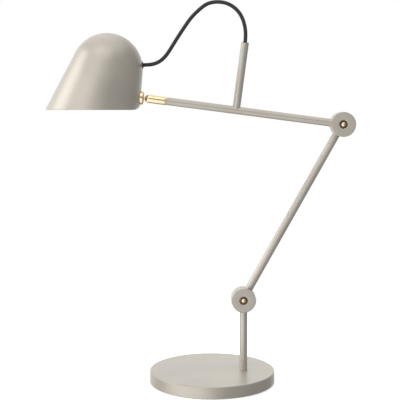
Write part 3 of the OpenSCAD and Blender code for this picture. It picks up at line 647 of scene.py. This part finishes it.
line, along_line, knots = smooth_line(cord_points, CORD_STEP)
split = int(np.argmin(np.abs(along_line - knots[CORD_SPLIT])))
riser_points, riser_marks = braided(line[:split + 1], along_line[:split + 1], CORD_D)
shade_points, shade_marks = braided(line[split:], along_line[split:], CORD_D)
cord_riser = mesh_piece("cord_from_riser", [(riser_points, False)], braid, 60, marks=riser_marks)
cord_shade = mesh_piece("cord_to_shade", [(shade_points, False)], braid, 60, marks=shade_marks)
for made, node in ((cord_riser, "cord_riser_side"), (cord_shade, "cord_shade_side")):
    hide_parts(node)
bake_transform(cord_riser)
ENTRY + 0.004 * ENTRY_DIR
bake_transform(cord_shade)
float(along_line[-1] - along_line[split])


# --- base --------------------------------------------------------------------

BASE = Place((0, 0, 0), UP)
base_r, base_top, base_foot = high("base_cover")[0], high("base_cover")[2], low("base_cover")[2]
cavity_r, cavity_top = base_r - COVER_WALL, base_top - COVER_WALL
inlet_z = (low("lead_inlet")[2] + high("lead_inlet")[2]) / 2
INLET = Place((0, base_r, inlet_z), ACROSS)
inlet_r, inlet_lip_r = 4.5 * MM, 5.7 * MM
cover_profile = rounded([
    (0, base_top), (base_r - 3 * MM, base_top), (base_r - 0.9 * MM, base_top, 0.8 * MM),
    (base_r, base_top - 0.9 * MM, 0.8 * MM),
    (base_r, base_foot + 0.5 * MM, 0.5 * MM), (base_r - 0.5 * MM, base_foot, 0.2 * MM),
    (cavity_r + 0.3 * MM, base_foot, 0.2 * MM), (cavity_r, base_foot + 0.3 * MM, 0.2 * MM),
    (cavity_r, cavity_top, 0.8 * MM), (0, cavity_top)])
cover = mesh_piece("base_disc", [(turned(BASE, cover_profile, 384), False)], painted)
drill(cover, [(INLET, inlet_r + FIT, *THROUGH)])
join_body(cover, "base", "paint", "base_cover")

pad_r, pad_top = high("base_pad")[0], high("base_pad")[2]
pad_profile = rounded([(0, 0), (pad_r - 0.6 * MM, 0, 0.5 * MM), (pad_r, 0.6 * MM, 0.5 * MM),
                       (pad_r, pad_top), (0, pad_top)])
join_body(mesh_piece("table_pad", [(turned(BASE, pad_profile, 256), False)], black_rubber),
          "base", "rubber", "base_pad")

inlet_profile = rounded([
    (CORD_BORE_R, -5.8 * MM, 0.3 * MM), (inlet_lip_r, -5.8 * MM, 0.4 * MM),
    (inlet_lip_r, -3.8 * MM, 0.3 * MM), (inlet_r, -3.8 * MM, 0.1 * MM),
    (inlet_r, 0.25 * MM, 0.1 * MM), (inlet_lip_r, 0.25 * MM, 0.2 * MM),
    (inlet_lip_r, 1.85 * MM, 1.0 * MM), (CORD_BORE_R, 1.85 * MM, 1.0 * MM),
    (CORD_BORE_R, -5.8 * MM)])[:-1]
join_body(mesh_piece("inlet_bush", [(turned(INLET, inlet_profile, sides=96), True)], black_rubber),
          "base", "rubber", "lead_inlet")


# --- tubes -------------------------------------------------------------------

LOWER_DIR = unit(ELBOW - LOWER)
post_foot = np.array([LOWER[0], FRONT[1], low("post_tube")[2]])
bore = TUBE_R - TUBE_WALL
to_disc = (DISC_R, False)
tubes = [
    ("post_pipe", "post", "post_tube",
     pipe(post_foot, UP, LOWER[2] - post_foot[2], TUBE_R, bore, None, to_disc)),
    ("lower_pipe", "lower_arm", "lower_arm_tube",
     pipe(LOWER + REAR, LOWER_DIR, np.linalg.norm(ELBOW - LOWER), TUBE_R, bore, to_disc, to_disc)),
    ("upper_pipe", "upper_arm", "upper_arm_tube",
     pipe(ELBOW + FRONT, ARM_DIR, TUBE_END, TUBE_R, bore, to_disc, None)),
    ("riser_pipe", "upper_arm", "riser_tube",
     pipe(RISER_FOOT, RISER_DIR, RISER_L, TUBE_R, bore, (TUBE_R, True), None)),
]
for name, body, node, grid in tubes:
    join_body(mesh_piece(name, [(grid, True)], painted), body, "paint", node)

RISER = Place(RISER_TOP, RISER_DIR)
bush_profile = rounded([
    (CORD_BORE_R, -12 * MM), (bore - FIT, -12 * MM, 0.3 * MM), (bore - FIT, 0.02 * MM),
    (TUBE_R - 0.3 * MM, 0.02 * MM, 0.2 * MM), (TUBE_R - 1.0 * MM, 0.92 * MM, 0.4 * MM),
    (CORD_BORE_R, 0.92 * MM, 0.4 * MM), (CORD_BORE_R, -12 * MM)])[:-1]
join_body(mesh_piece("riser_ferrule", [(turned(RISER, bush_profile, sides=96), True)], black_rubber),
          "upper_arm", "rubber", "riser_bush")


# --- disc joints -------------------------------------------------------------

# the ring-shaped chamber in each disc's inner face, where the spare lead lies
chamber_in, chamber_out, chamber_h = 8 * MM, 14.5 * MM, DISC_T / 2 + 2.8 * MM
bore_r, counter_r = PIVOT_R + TURNING_FIT, HEAD_R + 0.4 * MM
disc_profile = rounded([
    (bore_r, 0), (chamber_in, 0), (chamber_in, chamber_h, 0.5 * MM), (chamber_out, chamber_h, 0.5 * MM),
    (chamber_out, 0), (DISC_R - 0.6 * MM, 0, 0.5 * MM), (DISC_R, 0.6 * MM, 0.5 * MM),
    (DISC_R, DISC_T - 0.6 * MM, 0.5 * MM), (DISC_R - 0.6 * MM, DISC_T, 0.5 * MM),
    (counter_r + 0.6 * MM, DISC_T, 0.4 * MM), (counter_r, DISC_T - 0.6 * MM, 0.4 * MM),
    (counter_r, DISC_T - COUNTERBORE, 0.15 * MM), (bore_r, DISC_T - COUNTERBORE), (bore_r, 0)])[:-1]

seat = HALF_GAP + DISC_T - COUNTERBORE
face = HALF_GAP + DISC_T
button_r, collar_t, dome_h = 3.3 * MM, 0.8 * MM, 1.2 * MM
washer_t, nut_t, tip = 1.1 * MM, 3.6 * MM, 0.4 * MM
washer_bore_r, nut_bore_r = PIVOT_R + 0.15 * MM, PIVOT_R + FIT
dome_ball = (button_r**2 + dome_h**2) / (2 * dome_h)
dome_turns = np.linspace(math.asin(button_r / dome_ball) * 0.93, 0, 12)
bolt_profile = np.concatenate([
    rounded([(0, -face + tip), (PIVOT_R - tip, -face + tip), (PIVOT_R, -face + 2 * tip),
             (PIVOT_R, seat), (HEAD_R, seat, 0.1 * MM), (HEAD_R, seat + collar_t, 0.3 * MM),
             (button_r, seat + collar_t, 0.2 * MM), (button_r, face - 0.1 * MM)]),
    [(dome_ball * math.sin(t), face + dome_h - dome_ball * (1 - math.cos(t))) for t in dome_turns]])
washer_profile = rounded([
    (washer_bore_r, 0.4 * MM), (HEAD_R, 0, 0.1 * MM), (HEAD_R, 0.5 * MM, 0.1 * MM),
    (HEAD_R - 0.25 * MM, 0.55 * MM), (HEAD_R, 0.6 * MM, 0.1 * MM), (HEAD_R, washer_t, 0.1 * MM),
    (washer_bore_r, washer_t), (washer_bore_r, 0.4 * MM)])[:-1]
nut_profile = rounded([
    (nut_bore_r, 0), (HEAD_R, 0, 0.2 * MM), (HEAD_R, nut_t - MM, 0.5 * MM),
    (HEAD_R - MM, nut_t, 0.5 * MM), (PIVOT_R + 0.6 * MM, nut_t, 0.3 * MM),
    (nut_bore_r, nut_t - 0.6 * MM), (nut_bore_r, 0)])[:-1]

for label, pivot, front_body, rear_body in (("lower", LOWER, "post", "lower_arm"),
                                            ("elbow", ELBOW, "upper_arm", "lower_arm")):
    ahead = Place(pivot, -ACROSS)
    discs = (("front", -ACROSS, front_body), ("rear", ACROSS, rear_body))
    # the bolts' brass carries painted shade inside the counterbore, below the disc's face
    brass = turned_brass(f"brass_{label}_pivot", ahead, rough=0.16, recess=face)
    for side, outward, body in discs:
        disc_grid = turned(Place(pivot + HALF_GAP * outward, outward), disc_profile, sides=256)
        join_body(mesh_piece(f"{label}_disc_{side}", [(disc_grid, True)], painted),
                  body, "paint", f"{label}_{side}_disc")
    join_body(mesh_piece(f"{label}_bolt", [(turned(ahead, bolt_profile), False)], brass),
              front_body, "brass", f"{label}_pivot_bolt")
    on_seat = Place(pivot + (seat + TURNING_FIT) * ACROSS, ACROSS)
    join_body(mesh_piece(f"{label}_washers", [(turned(on_seat, washer_profile, sides=96), True)], zinc),
              front_body, "steel", f"{label}_spring_washers")
    on_washers = Place(pivot + (seat + washer_t + 3 * TURNING_FIT) * ACROSS, ACROSS)
    nut = mesh_piece(f"{label}_nut", [(turned(on_washers, nut_profile), True)], brass)
    pin_at = (HEAD_R - MM + PIVOT_R) / 2
    drill(nut, [(Place(on_washers.origin + np.array([offset, 0, 0]), ACROSS),
                 0.8 * MM, 2 * MM, 5 * MM) for offset in (-pin_at, pin_at)])
    join_body(nut, front_body, "brass", f"{label}_pivot_nut")


# --- sleeve and ball joint ---------------------------------------------------

mouth_r, nut_room_r, nut_room_l, sleeve_taper = 3.35 * MM, 5.2 * MM, 7.5 * MM, 4 * MM
stud_bore_r = NECK_R + TURNING_FIT
nose = [(SLEEVE_R * math.sin(t), SLEEVE_END - SLEEVE_R + SLEEVE_R * math.cos(t))
        for t in np.linspace(math.pi / 2, math.asin(mouth_r / SLEEVE_R), 24)]
sleeve_profile = np.concatenate([
    rounded([(TUBE_R + FIT, SLEEVE_START), (TUBE_R + 0.35 * MM, SLEEVE_START, 0.15 * MM),
             (SLEEVE_R, SLEEVE_START + sleeve_taper, 3 * MM), nose[0]]),
    np.array(nose[1:]),
    rounded([(stud_bore_r, nose[-1][1] - 0.25 * MM), (stud_bore_r, TUBE_END + nut_room_l),
             (nut_room_r, TUBE_END + nut_room_l), (nut_room_r, TUBE_END),
             (TUBE_R + FIT, TUBE_END)])])
join_body(mesh_piece("arm_ferrule", [(turned(ARM, sleeve_profile, 128), True)], brass_arm),
          "upper_arm", "brass", "arm_sleeve")

neck_angle = math.asin(NECK_R / BALL_R)
stud_start = TUBE_END + nut_room_l - 5.5 * MM
stud_profile = np.concatenate([
    rounded([(0, stud_start), (NECK_R - tip, stud_start), (NECK_R, stud_start + tip),
             (NECK_R, ARM_L - BALL_R * math.cos(neck_angle) - 0.6 * MM)]),
    [(BALL_R * math.sin(t), ARM_L - BALL_R * math.cos(t))
     for t in np.linspace(neck_angle + 0.03, math.pi, 48)]])
stud_profile[-1, 0] = 0
join_body(mesh_piece("stud", [(turned(ARM, stud_profile, sides=96), False)], brass_arm),
          "shade_stud", "brass", "ball_stud")

flange_r, flange_t, lip, lip_over = 11 * MM, 4.6 * MM, 1.8 * MM, 1.6 * MM
cup_r, barrel_r, barrel_bore_r, barrel_l = BALL_R + TURNING_FIT, 7.5 * MM, 5.65 * MM, 12.4 * MM
flange_foot = -0.01 * MM
lip_r = math.sqrt(cup_r**2 - lip_over**2) + 0.5 * MM
cup = [(cup_r * math.sin(t), BALL_OUT + cup_r * math.cos(t))
       for t in np.linspace(math.acos(lip_over / cup_r), math.pi / 2, 10)]
wall_curve = cone_radius(-JOINT_DOWN, DOME_R) / math.cos(CONE_A)
socket_profile = np.concatenate([
    rounded([(barrel_bore_r, -barrel_l), (barrel_r, -barrel_l, 0.3 * MM), (barrel_r, -2 * MM),
             (barrel_r, flange_foot), (flange_r, flange_foot),
             (flange_r, flange_t - 1.4 * MM, 0.4 * MM),
             (flange_r - 0.5 * MM, flange_t - 0.4 * MM, 0.3 * MM),
             (flange_r - 1.2 * MM, flange_t, 0.4 * MM), (flange_r - 2 * MM, flange_t, 0.3 * MM),
             (flange_r - 2.5 * MM, flange_t - 0.3 * MM, 0.3 * MM), (lip_r, lip, 0.4 * MM), cup[0]]),
    np.array(cup[1:]),
    [(barrel_bore_r, BALL_OUT - 0.02 * MM)]])
socket_grid = turned(WALL, socket_profile)
# the flange's foot follows the shade's curve, which falls away by y^2 / 2R across it
on_wall = np.abs(socket_profile[:, 1] - flange_foot) < 0.02 * MM
cross = (socket_grid - WALL.origin) @ WALL.v
sag = np.where(on_wall[:, None], cross**2 / (2 * wall_curve), 0)
socket_grid = socket_grid - sag[..., None] * WALL.w
join_body(mesh_piece("ball_socket", [(socket_grid, True)], brass_wall),
          "shade", "brass", "joint_socket")


# --- shade -------------------------------------------------------------------


def shade_wall(sides=320, rows=120, lip_rows=9, halvings=46):
    """The spun wall. Its middle surface is a dome, then the cone that is tangent to it, followed
    from the top by the length t along it: a polar angle t / r on the dome, a straight line on the
    cone. For each direction round the axis, halving finds the t at which the surface reaches the
    level rim, whose back corner is rounded. The two faces lie half a wall out and in along the
    normal, and a half circle joins them at the rim."""
    r = DOME_R - SHADE_WALL / 2
    turn = math.pi / 2 - CONE_A
    phi = around(sides)

    def middle(t):
        angle = np.minimum(t / r, turn)
        past = np.maximum(t - r * turn, 0)
        radius = r * np.sin(angle) + past * math.sin(CONE_A)
        height = r * np.cos(angle) - past * math.cos(CONE_A)
        return radius, height, np.sin(angle), np.cos(angle)

    def above_rim(t):
        radius, height = middle(t)[:2]
        p = SHADE.put(radius * np.cos(phi), radius * np.sin(phi), height)
        over = np.clip(p[:, 0] - (RIM_BACK - CORNER_R), 0, CORNER_R)
        return p[:, 2] - (RIM_Z + SHADE_WALL / 2 + CORNER_R - np.sqrt(CORNER_R**2 - over**2))

    near, far = np.full(sides, r * 0.5), np.full(sides, r * turn + 0.12)
    for _ in range(halvings):
        half = (near + far) / 2
        is_above = above_rim(half) > 0
        near, far = np.where(is_above, half, near), np.where(is_above, far, half)
    share = np.sin(np.linspace(0, math.pi / 2, rows)) ** 0.9
    t = near[None, :] * share[:, None]
    radius, height, normal_r, normal_h = middle(t)

    def offset(by_normal, by_along, rows_of):
        rr = radius[rows_of] + by_normal * normal_r[rows_of] + by_along * normal_h[rows_of]
        hh = height[rows_of] + by_normal * normal_h[rows_of] - by_along * normal_r[rows_of]
        return SHADE.put(rr * np.cos(phi), rr * np.sin(phi), hh)

    half_wall = SHADE_WALL / 2
    outer = offset(half_wall, 0, slice(None))
    lip_turns = np.linspace(0, math.pi, lip_rows)[1:-1]
    rim = [offset(half_wall * math.cos(a), half_wall * math.sin(a), slice(-1, None))
           for a in lip_turns]
    inner = offset(-half_wall, 0, slice(None, None, -1))
    return np.concatenate([outer, *rim, inner]), rows + (lip_rows - 2) // 2


shade_grid, inside_from = shade_wall()
shell = mesh_piece("shade_dome", [(shade_grid, False)], [shade_painted, inner_white],
                   second_from=inside_from)
entry_place = Place(ENTRY, ENTRY_DIR)
grommet_r, grommet_lip_r, grommet_top = 4.7 * MM, 5.5 * MM, 1.0 * MM
drill(shell, [(WALL, barrel_r + FIT, *THROUGH), (entry_place, grommet_r + FIT, *THROUGH)])
join_body(shell, "shade", "shade_paint", "shade_shell")


def on_dome(radius, inward=0.0):
    """Height of the dome, or of its inner face, over a radius round the cord's entry."""
    r = DOME_R - inward
    return math.sqrt(r * r - radius * radius) - DOME_R


grommet_profile = rounded([
    (CORD_BORE_R, -4.2 * MM), (grommet_lip_r, -4.2 * MM, 0.4 * MM),
    (grommet_lip_r, on_dome(grommet_lip_r, SHADE_WALL) - FIT, 0.1 * MM),
    (grommet_r, on_dome(grommet_r, SHADE_WALL) - FIT), (grommet_r, on_dome(grommet_r) + FIT),
    (grommet_lip_r, on_dome(grommet_lip_r) + FIT, 0.1 * MM), (grommet_lip_r, 0.3 * MM, 0.2 * MM),
    (grommet_r, grommet_top, 0.3 * MM), (CORD_BORE_R, grommet_top, 0.4 * MM),
    (CORD_BORE_R, -4.2 * MM)])[:-1]
join_body(mesh_piece("entry_grommet", [(turned(entry_place, grommet_profile, sides=96), True)],
                     black_rubber),
          "shade", "rubber", "cord_grommet")


# --- lamp --------------------------------------------------------------------

holder_r, holder_bore_r, mouth_h = 13 * MM, 7.3 * MM, 2 * MM
holder_top, bore_top, lead_bore_r, lead_bore_l = mouth_h + 38 * MM, mouth_h + 20 * MM, 2.4 * MM, 8 * MM
holder_profile = np.concatenate([
    [(0, bore_top), (holder_bore_r, bore_top)],
    rounded([(holder_bore_r, mouth_h, 0.3 * MM), (holder_r, mouth_h, 0.6 * MM),
             (holder_r, holder_top - 4 * MM, 1.5 * MM), (holder_r - 3 * MM, holder_top, 1.2 * MM),
             (lead_bore_r, holder_top, 0.3 * MM), (lead_bore_r, holder_top - lead_bore_l),
             (0, holder_top - lead_bore_l)])])
join_body(mesh_piece("lamp_socket", [(turned(SHADE, holder_profile), False)], phenolic),
          "shade", "phenolic", "lampholder")

ring_r, ring_h, bracket_h, bracket_t = 17 * MM, 3 * MM, 10 * MM, 1.6 * MM
RIBS, RIB_DEPTH = 36, 0.35 * MM


def knurl(t, profile):
    """Rounded ribs on a ring's rim, as waves on the outermost points only."""
    return np.where(profile[:, :1] > ring_r - 0.9 * MM, RIB_DEPTH * (np.cos(RIBS * t) - 1), 0)


ring_profile = rounded([(holder_r + FIT, 0), (ring_r, 0, 0.5 * MM), (ring_r, ring_h, 0.5 * MM),
                        (holder_r + FIT, ring_h), (holder_r + FIT, 0)])[:-1]
ring_grids = [(turned(Place(DOME + h * LEAN, LEAN), ring_profile, 288, knurl), True)
              for h in (bracket_h - ring_h - FIT, bracket_h + bracket_t + FIT)]
join_body(mesh_piece("clamp_rings", ring_grids, phenolic), "shade", "phenolic", "holder_rings")

globe_r, globe_h = 22.5 * MM, mouth_h - 36 * MM
cap_r, collar_r, collar_at, cap_at = 7 * MM, 8.5 * MM, mouth_h - 0.8 * MM, mouth_h - 1.53 * MM
neck_from = math.acos(0.7)
globe_profile = np.concatenate([
    [(globe_r * math.sin(t), globe_h + globe_r * math.cos(t))
     for t in np.linspace(math.pi, neck_from + 0.06, 80)],
    rounded([(globe_r * math.sin(neck_from), globe_h + globe_r * math.cos(neck_from)),
             (collar_r, collar_at, 0.6 * MM), (cap_r + FIT, collar_at),
             (cap_r + FIT, cap_at), (0, cap_at)])])
globe_profile[0, 0] = 0
join_body(mesh_piece("opal_bulb", [(turned(SHADE, globe_profile, sides=160), False)], opal),
          "shade", "opal", "bulb_globe")

# out from the shade's axis and up it, in millimetres, from the cord's end to the holder's top
LEAD_ROUTE = [(37, 27), (32, 33), (26, 38), (20, 44), (13, 47.5), (6, 47.5), (1.5, 44.5), (0, 40),
              (0, 36)]
lead_points = np.array([SHADE.put(x * MM, 0.0, z * MM) for x, z in LEAD_ROUTE])
lead_line = smooth_line(lead_points, 0.8 * MM)[0]


def plain_tube(path, diameter, sides=36):
    """A round tube with flat ends along a path in one plane."""
    tangent = np.gradient(path, axis=0)
    tangent /= np.linalg.norm(tangent, axis=1)[:, None]
    side = np.cross(ACROSS, tangent)
    t = around(sides)
    rings = (path[:, None, :] + (diameter / 2 * np.cos(t))[None, :, None] * ACROSS
             + (diameter / 2 * np.sin(t))[None, :, None] * side[:, None, :])
    start, end = (np.repeat(p[None, None, :], sides, 1) for p in (path[0], path[-1]))
    return np.concatenate([start, rings, end])


join_body(mesh_piece("lamp_lead", [(plain_tube(lead_line, LEAD_D), False)], white_lead),
          "shade", "lead", "holder_lead")


# --- studio ------------------------------------------------------------------

WHITE = (1, 1, 1, 1)
FLOOR_R, FLOOR_SIDES = 0.6, 96
floor_t = around(FLOOR_SIDES)
floor_ring = FLOOR_R * np.stack([np.cos(floor_t), np.sin(floor_t), 0 * floor_t], 1)
floor_mesh = bpy.data.meshes.new("floor")
floor_mesh.from_pydata(floor_ring.tolist(), [], [list(range(FLOOR_SIDES))])
floor = bpy.data.objects.new("floor", floor_mesh)
bpy.context.scene.collection.objects.link(floor)
floor_finish = Finish("pale_floor", Emission_Strength=0.4, Emission_Color=WHITE)
floor_mesh.materials.append(floor_finish.set(Base_Color=(0.9, 0.9, 0.9), Roughness=0.6))
floor.visible_glossy = floor.visible_diffuse = False

world = bpy.data.worlds.new("studio")
bpy.context.scene.world = world
world.use_nodes = True


class Sky(Finish):
    """The room's light by direction, as soft boxes on a dim grey."""

    def __init__(self, tree):
        self.tree = tree
        self.direction = self.node("ShaderNodeTexCoord", output="Generated")

    def box(self, towards, inner, outer, strength):
        """Light that is full within an angle of a direction and none past a wider one."""
        toward = self.node("ShaderNodeVectorMath", {"operation": "DOT_PRODUCT"},
                           {0: self.direction, 1: unit(towards)}, output="Value")
        return toward.step(math.cos(math.radians(outer)), math.cos(math.radians(inner)), 0.0, strength)


world.node_tree.nodes.clear()
sky = Sky(world.node_tree)
key = sky.box((-1, 0.05, 0.35), 6, 29, 2.7)
left_fill = sky.box((-0.6, -0.75, 0.25), 20, 60, 0.42)
overhead = sky.box((0, 0, 1), 20, 56, 0.82)
high_front = sky.box((-0.25, -0.7, 0.75), 15, 36, 0.7)
back = sky.box((-0.2, 1, 0.1), 20, 70, 0.7)
front = sky.box((-0.1, -1, 0), 8, 40, 0.22)
low_left = sky.box((-0.6, -0.55, -0.6), 20, 58, 1.15)
dark_card = sky.box((-0.1, -1, 0.23), 4, 17, -0.75)
DIM = 0.36
light = key + left_fill + overhead + high_front + back + front + low_left + dark_card + DIM
lit = sky.node("ShaderNodeBackground", {}, {"Strength": light, "Color": WHITE})
seen = sky.node("ShaderNodeBackground", {}, {"Strength": 1.0, "Color": WHITE})
is_seen = sky.node("ShaderNodeLightPath", output="Is Camera Ray")
mixed = sky.node("ShaderNodeMixShader", {}, {0: is_seen, 1: lit, 2: seen})
sky.feed(world.node_tree.nodes.new("ShaderNodeOutputWorld").inputs["Surface"], mixed)
bpy.context.scene.view_settings.view_transform = "Standard"
